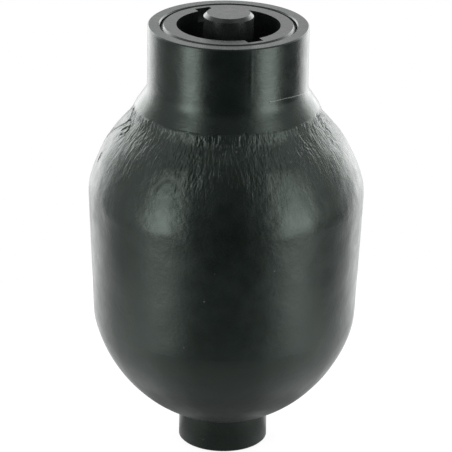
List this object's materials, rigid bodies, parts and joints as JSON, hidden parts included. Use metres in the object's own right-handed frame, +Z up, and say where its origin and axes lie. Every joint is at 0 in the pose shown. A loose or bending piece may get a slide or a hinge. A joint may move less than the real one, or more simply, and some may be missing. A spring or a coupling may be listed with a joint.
{
  "type": "bladder accumulator",
  "caption": "Forged steel hydraulic bladder accumulator with a threaded port below, a slotted lock ring in its neck and a capped gas valve.",
  "frame": {"origin": "centre of the oil port's face, at the foot of the vessel", "axes": "+Z up the vessel's axis to the gas valve, +X to the right and +Y away from the front"},
  "size_m": [0.1186, 0.1186, 0.1953],
  "materials": {
    "vessel_enamel": "semi-gloss green-black enamel over forged and machined steel",
    "phosphated_steel": "satin black turned steel",
    "cap_enamel": "satin black turned cap",
    "seal_rubber": "smooth black nitrile",
    "bladder_rubber": "matt black moulded nitrile",
    "seal_plastic": "natural white PTFE",
    "plain_steel": "turned steel, zinc plated",
    "valve_brass": "turned brass",
    "spring_steel": "drawn spring wire"
  },
  "bodies": {
    "vessel": {"shell": "vessel_enamel", "lock_ring": "phosphated_steel", "gas_plug": "phosphated_steel", "plug_o_ring": "seal_rubber", "plug_backup_ring": "seal_plastic", "bladder": "bladder_rubber", "gas_valve_body": "plain_steel", "valve_body_o_ring": "seal_rubber", "core_barrel": "valve_brass", "core_seal": "seal_plastic", "core_spring": "spring_steel", "seal_cap": "valve_brass", "seal_cap_gasket": "seal_rubber", "protective_cap": "cap_enamel", "cap_o_ring": "seal_rubber"},
    "bladder_foot": {"bladder_button": "plain_steel"},
    "valve_pin": {"core_pin": "valve_brass", "core_poppet": "valve_brass", "poppet_gasket": "seal_rubber"}
  },
  "joints": [
    {"name": "bladder_lift", "type": "slide", "parent": "vessel", "child": "bladder_foot", "axis": [0, 0, 1], "range_m": [0, 0.07], "deforming": ["bladder"]},
    {"name": "valve_pin_press", "type": "slide", "parent": "vessel", "child": "valve_pin", "axis": [0, 0, -1], "range_m": [0, 0.0012], "stiffness_N_per_m": 500, "springref_m": -0.004, "deforming": ["core_spring"]}
  ]
}
